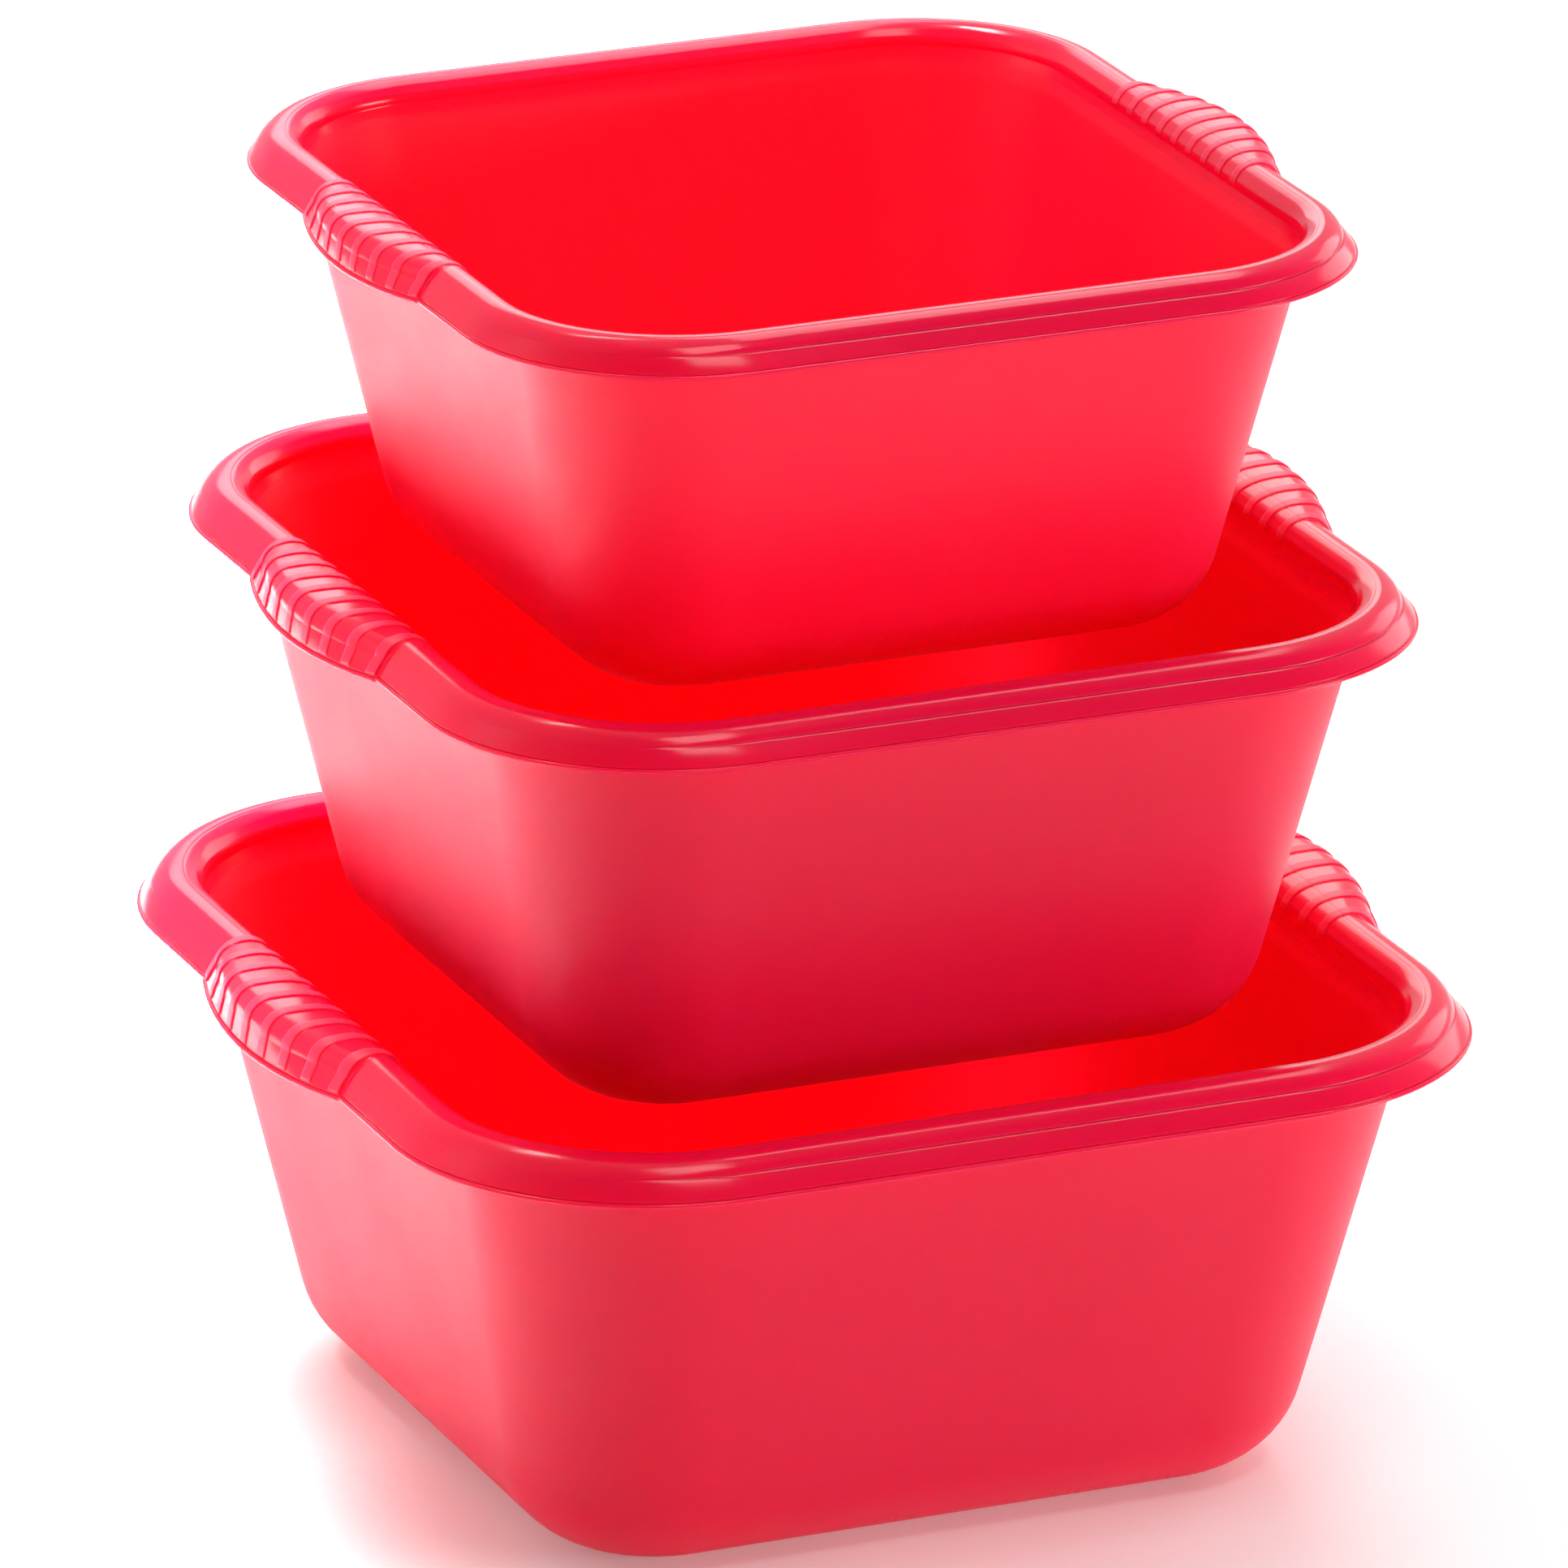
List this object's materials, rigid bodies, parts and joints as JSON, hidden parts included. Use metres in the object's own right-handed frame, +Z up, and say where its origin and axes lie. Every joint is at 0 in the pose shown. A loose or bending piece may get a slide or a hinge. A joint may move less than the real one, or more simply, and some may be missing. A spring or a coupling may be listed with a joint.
{
  "type": "developing tray",
  "caption": "Square nesting trays in red plastic with rolled rims, sloping skirts and ribbed side grips, stood one above the other in a tapering column.",
  "frame": {"origin": "middle of the large tray's underside, at the surface it stands on", "axes": "+Z up, out of the trays' mouths; X across the two ribbed grips; Y along the two plain sides"},
  "size_m": [0.3776, 0.3788, 0.4131],
  "materials": {
    "large_tray_plastic": "red polypropylene, satin on the walls and glossier on the rim",
    "middle_tray_plastic": "red polypropylene, satin on the walls and glossier on the rim",
    "small_tray_plastic": "red polypropylene, satin on the walls and glossier on the rim"
  },
  "bodies": {
    "large": {"large_tray": "large_tray_plastic"},
    "middle": {"middle_tray": "middle_tray_plastic"},
    "small": {"small_tray": "small_tray_plastic"}
  },
  "joints": [
    {"name": "middle_tray_lift", "type": "slide", "parent": "large", "child": "middle", "axis": [0, 0, 1], "range_m": [-0.1165, 0.03]},
    {"name": "small_tray_lift", "type": "slide", "parent": "middle", "child": "small", "axis": [0, 0, 1], "range_m": [-0.1032, 0.03]}
  ]
}
